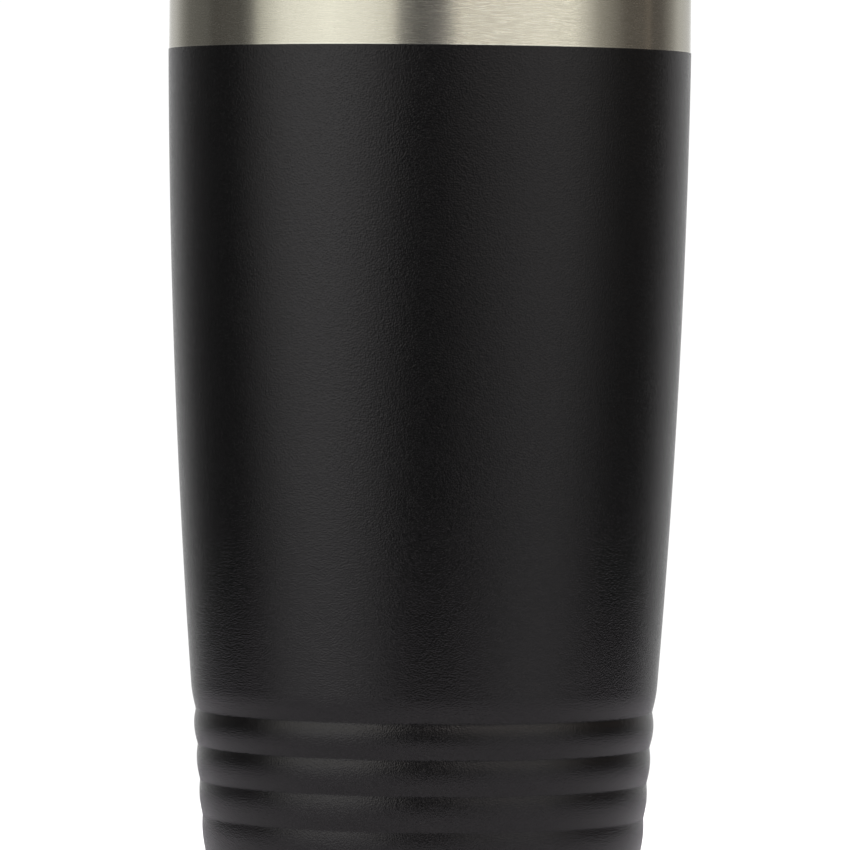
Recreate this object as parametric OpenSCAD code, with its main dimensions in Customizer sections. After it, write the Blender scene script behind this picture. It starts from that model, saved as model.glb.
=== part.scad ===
// Insulated tumbler with a push-in lid and a magnetic slider.
// Millimetres, +Z up, origin at the centre of the foot, on the surface that the cup stands on.
// The drinking opening is on the +X side. The slider is drawn open, and closes by moving along +X.

/* [Cup] */
// Height of the steel cup, from the surface it stands on to the top of its lip
cup_h = 174.5; // [168:0.5:190]
// Outer radius of the bare steel band at the mouth
band_r = 43.71; // [43.2:0.01:45]
// Height of the bare steel band, lip included
band_h = 19; // [16:0.5:24]
// Inward slope of the wall where the coating starts, in mm per mm
wall_lean = 0.0103; // [0.005:0.0001:0.015]
// Radius of the long arc that the wall follows from the band to the foot
barrel_radius = 1577; // [1400:1:2000]
// Thickness of the outer steel wall
shell_t = 0.5; // [0.4:0.05:0.6]
// Thickness of the inner steel wall
liner_t = 0.4; // [0.3:0.05:0.5]
// Thickness of the powder coating
coat_t = 0.12; // [0.1:0.01:0.3]
// Inner radius of the mouth
mouth_r = 40.91; // [40.88:0.01:41.2]
// Inner radius of the cup near its floor
floor_r = 30; // [27:0.1:31]
// Height of the inner floor
floor_z = 10; // [9:0.5:16]

/* [Grip rings] */
// Distance from the band's lower edge down to the top groove
groove_drop = 110.55; // [95:0.05:112]
// Distance from one groove to the next
groove_pitch = 5.93; // [5:0.01:6.5]
// Number of grooves
groove_count = 5; // [2:1:5]
// Depth of the top groove, before its bottom is rounded
groove_depth = 0.52; // [0.2:0.01:0.8]
// Depth of each groove as a share of the one above it
groove_fade = 0.8; // [0.6:0.01:1]
// Height over which the plain wall rolls into the first and the last groove
groove_shoulder = 4.4; // [3:0.1:6]
// Roundness of a groove's bottom, as a share of half a pitch
groove_soft = 0.08; // [0.03:0.01:0.3]

/* [Base] */
// Height of the weld between the wall and the base
base_joint_z = 3; // [2.8:0.1:4]
// Height of the coating's lower edge
coat_low_z = 4; // [4:0.1:8]
// Thickness of the base pressing
base_t = 0.5; // [0.4:0.05:0.6]
// Height of the recess inside the foot
recess_h = 2; // [1.6:0.1:2.6]

/* [Lid] */
// Height of the crown above the cup's lip
crown_h = 9.4; // [8:0.1:12]
// Height of the deck's upper face above the cup's lip
deck_h = 3.6; // [3.2:0.1:4]
// Thickness of the deck
deck_t = 1.8; // [1.6:0.1:2.2]
// Depth of the plug below the cup's lip
plug_d = 11.4; // [10.8:0.1:12.5]
// Length of the drinking opening, along Y
opening_l = 21; // [16:0.5:21]
// Width of the drinking opening, along X
opening_w = 8.4; // [6:0.2:8.4]
// Diameter of the vent hole
vent_d = 2.4; // [1.5:0.1:4]

/* [Slider] */
// Travel of the slider from open to closed
slider_travel = 14; // [12:0.5:15]
// Half the width of the slider's tongue
tongue_y = 12.7; // [12.6:0.05:12.75]
// Length of the slider
slider_l = 32; // [30:0.5:34]
// Diameter of every magnet
magnet_d = 6; // [5:0.5:6]
// Height of the thumb grip above the slider's cap
grip_h = 1.7; // [1:0.1:3]

/* [Hidden] */
$fn = 96;
running = 0.05;                          // clearance round a part that turns, slides or drops in
joined = 0.1;                            // depth to which one solid runs into the next of the same part
glued = 0.02;                            // gap round a part that is glued in
past = 1;                                // how far a cutter runs past the face that it opens

// Cup
bonded = 0.01;                           // gap between the coating and the steel
band_z = cup_h - band_h;                 // the coating's upper edge
lip_r = (band_r - mouth_r) / 2;          // radius of the rolled lip
lip_z = cup_h - lip_r;                   // height of the roll's centre
weld_drop = 0.8;
lip_weld_z = lip_z - weld_drop;          // where the roll meets the outer wall
mouth_h = 14;                            // depth of the straight mouth that the plug drops into
seat_z = cup_h - mouth_h;                // the liner narrows below this height
wall_step = 8;                           // between points of the plain wall's outline
groove_steps = 10;                       // points in one pitch of the grooves' outline
floor_corner = 8;                        // inner corner radius at the floor
foot_corner = 2.4;                       // outer corner radius at the foot
foot_w = 3.2;                            // width of the ring that touches the surface
foot_slope = 1.8;                        // run of the slope from the foot up to the recess
dimple_r = 6.5;
dimple_h = 1.5;
dimple_slope = 1;
port_r = 1;                              // radius of the evacuation port
bead_r = 2.8;
bead_h = 0.8;
bead_slope = 1.2;
cover_t = 0.5;
cover_gap = 0.6;
foil_t = 0.12;
foil_gap = 0.15;                         // between the foil and the liner
foil_end = 2.5;                          // from each of the foil's ends to the liner's nearest bend

// Getter, on the base inside the vacuum
getter_x = 16;
getter_z = recess_h + base_t;
pellet_r = 4;
pellet_h = 2;
strap_t = 0.3;
strap_w = 4;
strap_foot = 3;

// Lid, with heights counted from the cup's lip
deck_low = deck_h - deck_t;
flange_inset = 0.4;
flange_r = band_r - flange_inset;
flange_low = 0.2;
flange_top = 2.6;
flange_round = 0.7;
crown_r = 41.6;                          // outer radius of the crown, where it leaves the flange
crown_lean = 0.6;                        // how far the crown's outer face narrows on its way up
crown_round = 0.95;                      // half the thickness of the crown at its top
dish_r = 38.6;                           // radius of the dish inside the crown, at the deck
dish_round = 1;
plug_gap = 0.6;
plug_r = mouth_r - plug_gap;
plug_chamfer = 1.2;
seal_r = 37.9;                           // radius of the seal groove's floor
seal_top = -3.6;
seal_low = -8.4;
plug_t = 2;
plug_in_r = seal_r - plug_t;
seal_band_t = 1.5;
wiper_gap = 0.06;
wiper_r = mouth_r - wiper_gap;           // radius of the seal's wiping lips
wiper_h = 0.7;
wiper_rise = 0.5;                        // how far a wiping lip turns up towards its edge
wiper_low = 1.5;                         // from the seal's lower end to the lower lip
wiper_top = 1.2;                         // from the seal's upper end to the upper lip
opening_x = 30.4;                        // centre of the drinking opening
vent_x = -30;

// Slider, with places along X given for the closed slider
tongue_gap = 0.15;
tongue_t = 1.5;
tongue_low = deck_h + tongue_gap;
tongue_top = tongue_low + tongue_t;
block_y = 11.4;                          // half the width of the raised block on the tongue
block_h = 2.55;
block_top = tongue_low + block_h;
block_inset = 1.4;
cap_t = 1.2;
cap_top = block_top + cap_t;
front_r = 37.4;                          // the slider's front edge is an arc about the lid's axis
slider_x = front_r - slider_l;           // the slider's rear edge
corner_r = 2;
magnet_r = magnet_d / 2;
magnet_h = 2;
magnet_rear = 6.5;                       // from the slider's rear edge to its magnets
magnet_x = slider_x + magnet_rear;
magnet_y = 7.5;
pad_margin = 1.2;                        // how far the seal pad reaches past the drinking opening
pad_gap = 0.08;
pad_inset = 0.9;                         // depth of the pad's seat in the tongue
pad_low = deck_h + pad_gap;
pad_top = tongue_low + pad_inset;
grip_rear = 10.5;                        // from the slider's rear edge to the middle of the grip
grip_x = slider_x + grip_rear;
grip_w = 6;
grip_l = 17;

// Guide that holds the slider's tongue down, closed at the rear by a stop
rail_t = 2;
rail_h = 3;
rail_side_gap = 0.2;
rail_top_gap = 0.25;
rail_stop_gap = 0.3;
rail_grip = 0.6;                         // how far the guide reaches over the tongue
rail_y = tongue_y + rail_side_gap;
rail_top = deck_h + rail_h;
rail_lip_y = tongue_y - rail_grip;
rail_lip_low = tongue_top + rail_top_gap;
rail_x = slider_x - slider_travel - rail_stop_gap;
rail_end = 37.2;                         // inside the crown's wall
boss_t = 1.7;                            // wall of the boss round a magnet
boss_r = magnet_r + boss_t;
boss_low = -1.2;
pocket_top = 2;
pocket_r = magnet_r + running;

// Points along an arc about [x, z], from angle a0 to angle a1
function arc(x, z, r, a0, a1, n = 8) =
    [for (i = [0:n]) let (a = a0 + (a1 - a0) * i / n) [x + r * cos(a), z + r * sin(a)]];
function reversed(list) = [for (i = [len(list) - 1:-1:0]) list[i]];
function total(list, i = 0) = i < len(list) ? list[i] + total(list, i + 1) : 0;

// The outer wall follows one long arc. Each groove is cut into it by two parabolas that meet at its bottom.
function groove_z(i) = band_z - groove_drop - i * groove_pitch;
function groove_reach(i, z) =
    (i == 0 && z > groove_z(i)) || (i == groove_count - 1 && z < groove_z(i))
    ? groove_shoulder : groove_pitch / 2;
function groove_cut(i, z) =
    let (u = (z - groove_z(i)) / groove_reach(i, z), s = sqrt(u * u + groove_soft * groove_soft))
    s < 1 ? groove_depth * pow(groove_fade, i) * pow(1 - s, 2) : 0;
function barrel_r(z) =
    let (d = min(0, z - band_z)) band_r + wall_lean * d - d * d / (2 * barrel_radius);
function shell_r(z) = barrel_r(z) - total([for (i = [0:groove_count - 1]) groove_cut(i, z)]);

// Heights at which the wall's outline has a point: few on the plain wall, many across the grooves
function steps(low, high, step) =
    let (n = ceil((high - low) / step)) [for (i = [0:n - 1]) low + (high - low) * i / n];
function wall_heights(low, high) =
    let (zone_top = groove_z(0) + groove_shoulder, zone_low = groove_z(groove_count - 1) - groove_shoulder)
    concat(
        steps(low, zone_low, wall_step),
        steps(zone_low, zone_top, groove_pitch / groove_steps),
        steps(zone_top, high, wall_step),
        [high]
    );
function wall(heights, inward) = [for (z = heights) [shell_r(z) - inward, z]];

module outer_shell() {
    heights = concat(wall_heights(base_joint_z, band_z), [lip_weld_z]);
    color("silver")
    rotate_extrude()
    polygon(concat(wall(heights, 0), reversed(wall(heights, shell_t))));
}

module powder_coat() {
    heights = wall_heights(coat_low_z, band_z);
    color([0.07, 0.07, 0.07])
    rotate_extrude()
    polygon(concat(wall(heights, -coat_t), reversed(wall(heights, -bonded))));
}

// Skin of the liner from the middle of its floor, up and over the lip, to the weld on the outer wall
liner_angle = atan((mouth_r - floor_r) / (seat_z - floor_z - floor_corner));
function liner_skin(out) = concat(
    [[0, floor_z - out]],
    arc(floor_r - floor_corner, floor_z + floor_corner, floor_corner + out, -90, -liner_angle),
    [[mouth_r + out, seat_z]],
    arc(mouth_r + lip_r, lip_z, lip_r - out, 180, 0, 12),
    [[band_r - out, lip_weld_z]]
);

module inner_liner() {
    color("gainsboro")
    rotate_extrude()
    polygon(concat(liner_skin(0), reversed(liner_skin(liner_t))));
}

// Skin of the base from the port out to the weld, raised by a thickness
foot_r = shell_r(base_joint_z);
recess_r = foot_r - foot_corner - foot_w - foot_slope;
function base_skin(up) = concat(
    [
        [port_r, recess_h + dimple_h + up],
        [dimple_r - dimple_slope + up / 2, recess_h + dimple_h + up],
        [dimple_r + up / 2, recess_h + up],
        [recess_r + up / 2, recess_h + up],
        [recess_r + foot_slope + up / 2, up]
    ],
    arc(foot_r - foot_corner, foot_corner, foot_corner - up, -90, 0),
    [[foot_r - up, base_joint_z]]
);

module outer_base() {
    color("silver")
    rotate_extrude()
    polygon(concat(base_skin(0), reversed(base_skin(base_t))));
}

module base_cover() {
    color("gainsboro")
    translate([0, 0, recess_h - cover_t])
    cylinder(r = recess_r - cover_gap, h = cover_t);
}

// Solder that fills the evacuation port and stands as a bead under the dimple
module vacuum_seal() {
    dimple_z = recess_h + dimple_h;
    color("dimgray") {
        translate([0, 0, dimple_z - joined])
        cylinder(r = port_r, h = base_t + joined);
        translate([0, 0, dimple_z - bead_h])
        cylinder(r1 = bead_r - bead_slope, r2 = bead_r, h = bead_h);
    }
}

// Radiation foil wrapped round the liner inside the vacuum
module reflector_foil() {
    low = floor_z + floor_corner + foil_end;
    high = seat_z - foil_end;
    function foil_r(z, out) = mouth_r - (seat_z - z) * tan(liner_angle) + liner_t + foil_gap + out;
    color("silver")
    rotate_extrude()
    polygon([
        [foil_r(low, 0), low], [foil_r(low, foil_t), low],
        [foil_r(high, foil_t), high], [foil_r(high, 0), high]
    ]);
}

module getter_pellet() {
    color("dimgray")
    translate([getter_x, 0, getter_z])
    cylinder(r = pellet_r, h = pellet_h);
}

// Strap spot-welded to the base over the pellet
module getter_clip() {
    side = pellet_r + joined;
    top = pellet_h + strap_t;
    half = [
        [side, pellet_h], [side, 0], [side + strap_foot, 0],
        [side + strap_foot, strap_t], [side + strap_t, strap_t], [side + strap_t, top]
    ];
    color("silver")
    translate([getter_x, strap_w / 2, getter_z])
    rotate([90, 0, 0])
    linear_extrude(strap_w)
    polygon(concat(half, [for (p = reversed(half)) [-p[0], p[1]]]));
}

// Silicone seal: a band in the plug's groove, with two lips that wipe the mouth
module lid_gasket() {
    band_out = seal_r + seal_band_t;
    low = seal_low + joined;
    high = seal_top - joined;
    function wiper(z) = [
        [band_out, z - wiper_h], [wiper_r, z - wiper_h + wiper_rise],
        [wiper_r, z - wiper_h / 2 + wiper_rise], [band_out, z]
    ];
    color("whitesmoke")
    translate([0, 0, cup_h])
    rotate_extrude()
    polygon(concat(
        [[seal_r + running, low], [band_out, low]],
        wiper(low + wiper_low),
        wiper(high - wiper_top),
        [[band_out, high], [seal_r + running, high]]
    ));
}

module stadium(length, width) {
    square([width, length - width], center = true);
    for (side = [-1, 1])
    translate([0, side * (length - width) / 2])
    circle(d = width);
}

// The lid without its holes: plug, flange, crown and deck in one turned outline
module lid_turned() {
    crown_mid = crown_r - crown_lean - crown_round;
    rotate_extrude()
    polygon(concat(
        [
            [0, deck_low], [plug_in_r, deck_low], [plug_in_r, -plug_d],
            [plug_r - plug_chamfer, -plug_d], [plug_r, plug_chamfer - plug_d], [plug_r, seal_low],
            [seal_r, seal_low], [seal_r, seal_top], [plug_r, seal_top], [plug_r, flange_low]
        ],
        arc(flange_r - flange_round, flange_low + flange_round, flange_round, -90, 0, 4),
        arc(flange_r - flange_round, flange_top - flange_round, flange_round, 0, 90, 4),
        [[crown_r, flange_top]],
        arc(crown_mid, crown_h - crown_round, crown_round, 0, 180, 8),
        arc(dish_r - dish_round, deck_h + dish_round, dish_round, 0, -90, 4),
        [[0, deck_h]]
    ));
}

// One side of the guide: an upright with a lip over the slider's tongue
module guide_rail() {
    translate([rail_x, 0, 0])
    rotate([90, 0, 90])
    linear_extrude(rail_end - rail_x)
    polygon([
        [rail_y, deck_h - joined], [rail_y, rail_lip_low], [rail_lip_y, rail_lip_low],
        [rail_lip_y, rail_top], [rail_y + rail_t, rail_top], [rail_y + rail_t, deck_h - joined]
    ]);
}

module guide_stop() {
    translate([rail_x - rail_t, -rail_y - rail_t, deck_h - joined])
    cube([rail_t, 2 * (rail_y + rail_t), rail_top - deck_h + joined]);
}

open_x = magnet_x - slider_travel;
closed_x = magnet_x;

module at_lid_magnets() {
    for (x = [open_x, closed_x], side = [-1, 1])
    translate([x, side * magnet_y, 0])
    children();
}

module lid_body() {
    color("lightcyan", 0.5)
    translate([0, 0, cup_h])
    difference() {
        union() {
            lid_turned();
            for (side = [0, 1])
            mirror([0, side, 0])
            guide_rail();
            guide_stop();
            at_lid_magnets()
            translate([0, 0, boss_low])
            cylinder(r = boss_r, h = deck_low - boss_low + joined);
        }
        translate([opening_x, 0, deck_low - past])
        linear_extrude(deck_t + 2 * past)
        stadium(opening_l, opening_w);
        translate([vent_x, 0, deck_low - past])
        cylinder(d = vent_d, h = deck_t + 2 * past);
        at_lid_magnets()
        translate([0, 0, boss_low - past])
        cylinder(r = pocket_r, h = pocket_top - boss_low + past);
    }
}

// A magnet under the deck. side is 1 on the left and -1 on the right, seen from the rear of the lid
module lid_magnet(x, side) {
    color("darkgray")
    translate([x, side * magnet_y, cup_h + pocket_top - magnet_h])
    cylinder(r = magnet_r, h = magnet_h);
}

// The disc that closes a magnet's pocket from below
module magnet_plug(x, side) {
    color("lightcyan", 0.5)
    translate([x, side * magnet_y, cup_h + boss_low])
    cylinder(r = pocket_r - glued, h = pocket_top - magnet_h - boss_low);
}

// Outline of a slider layer: round corners at the rear, an arc about the lid's axis at the front
module slider_outline(half_y, inset) {
    rear = slider_x + inset;
    intersection() {
        circle(r = front_r - inset);
        union() {
            translate([rear + corner_r, -half_y])
            square([front_r, 2 * half_y]);
            translate([rear, corner_r - half_y])
            square([front_r, 2 * (half_y - corner_r)]);
            for (side = [-1, 1])
            translate([rear + corner_r, side * (half_y - corner_r)])
            circle(r = corner_r);
        }
    }
}

module in_open_place() {
    translate([-slider_travel, 0, cup_h])
    children();
}

module at_slider_magnet(side) {
    translate([magnet_x, side * magnet_y, block_top - magnet_h - running])
    children();
}

module slider_body() {
    color([0.1, 0.1, 0.1])
    in_open_place()
    difference() {
        union() {
            translate([0, 0, tongue_low])
            linear_extrude(tongue_top - tongue_low)
            slider_outline(tongue_y, 0);
            translate([0, 0, tongue_top - joined])
            linear_extrude(block_top - tongue_top + joined)
            slider_outline(block_y, block_inset);
        }
        for (side = [-1, 1])
        at_slider_magnet(side)
        cylinder(r = pocket_r, h = magnet_h + past);
        translate([opening_x, 0, tongue_low - past])
        linear_extrude(pad_top - tongue_low + past)
        stadium(opening_l + 2 * pad_margin, opening_w + 2 * pad_margin);
    }
}

// Cover plate over the slider's magnets, with the grip for the thumb
module slider_cap() {
    color([0.14, 0.14, 0.14])
    in_open_place() {
        translate([0, 0, block_top])
        linear_extrude(cap_top - block_top)
        slider_outline(block_y, block_inset);
        translate([grip_x, 0, cap_top - joined])
        linear_extrude(grip_h + joined)
        stadium(grip_l, grip_w);
    }
}

// Soft pad that lies over the drinking opening when the slider is closed
module slider_seal() {
    growth = 2 * (pad_margin - running);
    color("dimgray")
    in_open_place()
    translate([opening_x, 0, pad_low])
    linear_extrude(pad_top - pad_low)
    stadium(opening_l + growth, opening_w + growth);
}

module slider_magnet(side) {
    color("darkgray")
    in_open_place()
    at_slider_magnet(side)
    cylinder(r = magnet_r, h = magnet_h);
}

outer_shell();
powder_coat();
inner_liner();
outer_base();
base_cover();
reflector_foil();
getter_clip();
getter_pellet();
vacuum_seal();
lid_gasket();
lid_body();
lid_magnet(open_x, 1);  // lid_magnet_open_left
lid_magnet(open_x, -1);  // lid_magnet_open_right
lid_magnet(closed_x, 1);  // lid_magnet_closed_left
lid_magnet(closed_x, -1);  // lid_magnet_closed_right
magnet_plug(open_x, 1);  // magnet_plug_open_left
magnet_plug(open_x, -1);  // magnet_plug_open_right
magnet_plug(closed_x, 1);  // magnet_plug_closed_left
magnet_plug(closed_x, -1);  // magnet_plug_closed_right
slider_body();
slider_cap();
slider_seal();
slider_magnet(1);  // slider_magnet_left
slider_magnet(-1);  // slider_magnet_right
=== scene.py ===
"""Looks of the insulated tumbler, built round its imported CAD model. Sizes are in millimetres, as in the CAD
source, and mesh_piece() turns them into metres. The lights, the table's fades and Blender's own settings are
in metres. Heights called z count from the table, and heights called h from the cup's lip."""
import math

import bpy
from mathutils import Euler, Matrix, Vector


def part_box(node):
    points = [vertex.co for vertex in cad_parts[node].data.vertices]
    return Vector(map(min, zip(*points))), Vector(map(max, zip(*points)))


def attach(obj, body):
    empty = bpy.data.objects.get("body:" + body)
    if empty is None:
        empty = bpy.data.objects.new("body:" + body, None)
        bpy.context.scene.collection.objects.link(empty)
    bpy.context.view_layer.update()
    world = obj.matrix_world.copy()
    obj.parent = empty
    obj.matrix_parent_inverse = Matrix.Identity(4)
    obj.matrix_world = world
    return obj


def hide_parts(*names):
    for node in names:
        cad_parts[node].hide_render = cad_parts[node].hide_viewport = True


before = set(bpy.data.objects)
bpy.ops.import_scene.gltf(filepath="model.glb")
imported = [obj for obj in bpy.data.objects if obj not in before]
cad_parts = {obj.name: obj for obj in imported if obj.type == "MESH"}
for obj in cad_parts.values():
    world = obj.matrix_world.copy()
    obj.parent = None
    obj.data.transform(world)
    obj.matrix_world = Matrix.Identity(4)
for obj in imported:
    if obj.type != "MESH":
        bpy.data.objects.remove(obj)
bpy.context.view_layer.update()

MM = 0.001


# ---------------------------------------------------------------- sizes from the frame

def low(node, axis=2):
    """The lowest X, Y or Z of a CAD node."""
    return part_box(node)[0][axis] / MM


def high(node, axis=2):
    """The highest X, Y or Z of a CAD node."""
    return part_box(node)[1][axis] / MM


def centre(node):
    """The middle of a CAD node in plan."""
    return (low(node, 0) + high(node, 0)) / 2, (low(node, 1) + high(node, 1)) / 2


def widest(node):
    """The largest radius of a turned CAD node."""
    return max(math.hypot(v.co.x, v.co.y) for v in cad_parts[node].data.vertices) / MM


def nodes_called(start):
    """The CAD nodes whose names begin so, in alphabetical order."""
    return [name for name in sorted(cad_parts) if name.startswith(start)]


LID_MAGNETS = nodes_called("lid_magnet_")
MAGNET_PLUGS = nodes_called("magnet_plug_")
SLIDER_MAGNETS = nodes_called("slider_magnet_")
LIP_Z = high("inner_liner")
BAND_Z = high("powder_coat")
COAT_LOW_Z = low("powder_coat")
BASE_JOINT_Z = low("outer_shell")
BAND_R = widest("outer_shell")
WIPER_R = widest("lid_gasket")
COVER_R = widest("base_cover")
SLIDER_REAR = low("slider_body", 0)
SLIDER_FRONT = high("slider_body", 0)

# Cup. The last letter of a name says what it is: R a radius, T a thickness, W a width, L a length, H or D a
# height or depth, X or Y a place, and Z a height from the table.
MOUTH_GAP = 0.06
MOUTH_R = WIPER_R + MOUTH_GAP
WALL_LEAN = 0.0103
BARREL_RADIUS = 1577
SHELL_T = 0.5
LINER_T = 0.4
COAT_T = 0.12
COAT_EDGE = 0.05
BONDED = 0.01
WELD_SEAM = 0.04
GROOVE_DROP = 110.55
GROOVE_PITCH = 5.93
GROOVE_COUNT = 5
GROOVE_DEPTH = 0.52
GROOVE_FADE = 0.8
GROOVE_SHOULDER = 4.4
GROOVE_SOFT = 0.08
RING_CROWDING = 1.6
RING_NEAREST = 0.01
FLOOR_Z = 10
FLOOR_R = 30
FLOOR_CORNER = 8
SEAT_H = 14
SEAT_Z = LIP_Z - SEAT_H
BEND_L = 8
BEND_CURVE = 0.0045
LIP_R = (BAND_R - MOUTH_R) / 2
LIP_MID_Z = LIP_Z - LIP_R
LIP_WELD_DROP = 0.8
LIP_WELD_Z = LIP_MID_Z - LIP_WELD_DROP
BASE_T = 0.5
RECESS_H = 2
FOOT_CORNER = 2.4
FOOT_W = 3.2
FOOT_SLOPE = 1.8
DIMPLE_R = 6.5
DIMPLE_H = 1.5
DIMPLE_SLOPE = 1
PORT_R = 1
PRESS_CORNER = 0.5
FOOT_INNER_CORNER = 0.7
COVER_T = 0.5
COVER_RING_IN_R = 17.2
COVER_RING_OUT_R = 20.8
COVER_RING_SLOPE = 0.7
COVER_RING_H = 0.2
COVER_CORNER = 0.4
COVER_LOW_EDGE = 0.22
COVER_TOP_EDGE = 0.1

# Lid. Its levels are heights from the lip.
DECK_H = 3.6
DECK_LOW = 1.8
CROWN_H = high("lid_body") - LIP_Z
CROWN_CORNER = 0.93
PLUG_D = LIP_Z - low("lid_body")
FLANGE_INSET = 0.4
FLANGE_R = BAND_R - FLANGE_INSET
FLANGE_LOW = 0.2
FLANGE_TOP = 2.6
CROWN_R = 41.6
CROWN_LEAN = 0.6
CROWN_T = 1.9
DISH_R = 38.6
PLUG_GAP = 0.6
PLUG_R = MOUTH_R - PLUG_GAP
PLUG_LEAD = 1.2
PLUG_T = 2
SEAL_R = 37.9
SEAL_TOP = -3.6
SEAL_LOW = -8.4
SEAL_T = 1.5
SEAL_GAP = 0.05
SEAL_END_GAP = 0.1
WIPER_FIRST = 1.5
WIPER_LAST = 1.2
WIPER_ROOT_H = 0.7
WIPER_TIP_LOW = 0.2
WIPER_TIP_TOP = 0.15
PLUG_IN_R = SEAL_R - PLUG_T
OPENING_X = 30.4
OPENING_L = 21
OPENING_W = 8.4
OPENING_EDGE = 0.6
VENT_X = -30
VENT_R = 1.2
VENT_EDGE = 0.4

# Slider, its guide and its magnets. Their levels are heights from the lip too.
TONGUE_LOW = low("slider_body") - LIP_Z
TONGUE_T = 1.5
TONGUE_TOP = TONGUE_LOW + TONGUE_T
BLOCK_TOP = high("slider_body") - LIP_Z
TONGUE_Y = high("slider_body", 1)
BLOCK_Y = high("slider_cap", 1)
BLOCK_INSET = 1.4
TONGUE_LOW_EDGE = 0.2
TONGUE_EDGE = 0.3
BLOCK_EDGE = 0.12
SLIDER_CORNER = 2
FRONT_CORNER_TURN = 1.6
FRONT_CORNER_L = 0.9
CAP_T = 1.2
CAP_LOW_EDGE = 0.1
CAP_EDGE = 0.55
CAP_TOP = BLOCK_TOP + CAP_T
GRIP_FROM_REAR = 10.5
GRIP_X = SLIDER_REAR + GRIP_FROM_REAR
GRIP_L = 17
GRIP_W = 6
GRIP_FOOT = 0.5
GRIP_CREST = 0.9
GRIP_TOP = high("slider_cap") - LIP_Z
TRAVEL = 14
FRONT_R = SLIDER_FRONT + TRAVEL
RAIL_GAP = 0.2
RAIL_Y = TONGUE_Y + RAIL_GAP
RAIL_T = 2
RAIL_H = 3
RAIL_TOP = DECK_H + RAIL_H
RAIL_GRIP = 0.6
RAIL_LIP_Y = TONGUE_Y - RAIL_GRIP
RAIL_LIP_GAP = 0.25
RAIL_LIP_LOW = TONGUE_TOP + RAIL_LIP_GAP
STOP_GAP = 0.3
RAIL_X = SLIDER_REAR - STOP_GAP
RAIL_END = 37.2
RAIL_CORNER = 0.5
RAIL_EDGE = 0.35
RAIL_LOW_EDGE = 0.6 * RAIL_EDGE
BOSS_R = 4.7
BOSS_LOW = -1.2
BOSS_EDGE = 0.4
BOSS_EDGE_MID = 0.12
POCKET_TOP = 2
POCKET_R = 3.05
MAGNET_GAP = 0.02
MAGNET_EDGE = 0.25
MAGNET_PLUG_EDGE = 0.12
PAD_PROUD = 2.3
PAD_SEAT_PROUD = 2.4
PAD_LOW_EDGE = 0.25
PAD_TOP_EDGE = 0.1

# How far an added part sinks into its neighbour, and how far a cutter runs past a face
JOINED = 0.1
SUNK = 0.3
PAST = 1

# Meshes
SEGMENTS = 288
SHARP_ANGLE = math.radians(35)
NEARLY_STRAIGHT = math.radians(89.9)
ON_AXIS = 0.001


# ---------------------------------------------------------------- outlines

def arc(x, y, radius, start, end, steps):
    """Points along an arc, with its angles in degrees."""
    angles = [math.radians(start + (end - start) * i / steps) for i in range(steps + 1)]
    return [(x + radius * math.cos(a), y + radius * math.sin(a)) for a in angles]


def soften(corners, turn=15):
    """A closed outline from (x, y, radius) corners, each of them an arc that touches both of its sides."""
    points = []
    for i, (x, y, radius) in enumerate(corners):
        here = Vector((x, y))
        back = (Vector(corners[i - 1][:2]) - here).normalized()
        on = (Vector(corners[(i + 1) % len(corners)][:2]) - here).normalized()
        half = back.angle(on) / 2
        if radius == 0 or half > NEARLY_STRAIGHT:
            points.append((x, y))
            continue
        centre = here + (back + on).normalized() * radius / math.sin(half)
        first = here + back * radius / math.tan(half) - centre
        sweep = math.pi - 2 * half
        sign = 1 if back.x * on.y - back.y * on.x < 0 else -1
        steps = max(2, math.ceil(math.degrees(sweep) / turn))
        start = math.atan2(first.y, first.x)
        for k in range(steps + 1):
            a = start + sign * sweep * k / steps
            points.append((centre.x + radius * math.cos(a), centre.y + radius * math.sin(a)))
    return points


def lifted(outline, height):
    """An outline of (radius, h) points, as heights from the table."""
    return [(r, z + height) for r, z in outline]


def stadium(x, y, length, width, steps=24):
    """A slot along Y with round ends."""
    reach = (length - width) / 2
    return (arc(x, y + reach, width / 2, 0, 180, steps)
            + arc(x, y - reach, width / 2, 180, 360, steps))


def disc(x, y, radius, steps=72):
    """A circle about (x, y)."""
    return arc(x, y, radius, 0, 360 - 360 / steps, steps - 1)


def slider_outline(half_y, inset):
    """The slider's outline at its open place: round corners at the rear, and a front edge that follows the
    lid."""
    radius = FRONT_R - inset
    rear = SLIDER_REAR + inset
    corner = SLIDER_CORNER
    edge = math.degrees(math.asin(half_y / radius))
    front = arc(-TRAVEL, 0, radius, -edge + FRONT_CORNER_TURN, edge - FRONT_CORNER_TURN, 32)
    side_x = math.sqrt(radius ** 2 - half_y ** 2) - TRAVEL - FRONT_CORNER_L
    return (front + [(side_x, half_y)]
            + arc(rear + corner, half_y - corner, corner, 90, 180, 8)
            + arc(rear + corner, corner - half_y, corner, 180, 270, 8)
            + [(side_x, -half_y)])


# ---------------------------------------------------------------- meshes

def mesh_piece(name, vertices, faces):
    """An object from points in millimetres."""
    mesh = bpy.data.meshes.new(name)
    mesh.from_pydata([[c * MM for c in v] for v in vertices], [], faces)
    mesh.validate()
    piece = bpy.data.objects.new(name, mesh)
    bpy.context.scene.collection.objects.link(piece)
    return piece


def smooth(piece):
    """Smooth shading, except at edges over SHARP_ANGLE."""
    piece.data.polygons.foreach_set("use_smooth", [True] * len(piece.data.polygons))
    piece.data.set_sharp_from_angle(angle=SHARP_ANGLE)
    evened = piece.modifiers.new("even_normals", "WEIGHTED_NORMAL")
    evened.keep_sharp = True
    return piece


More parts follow.
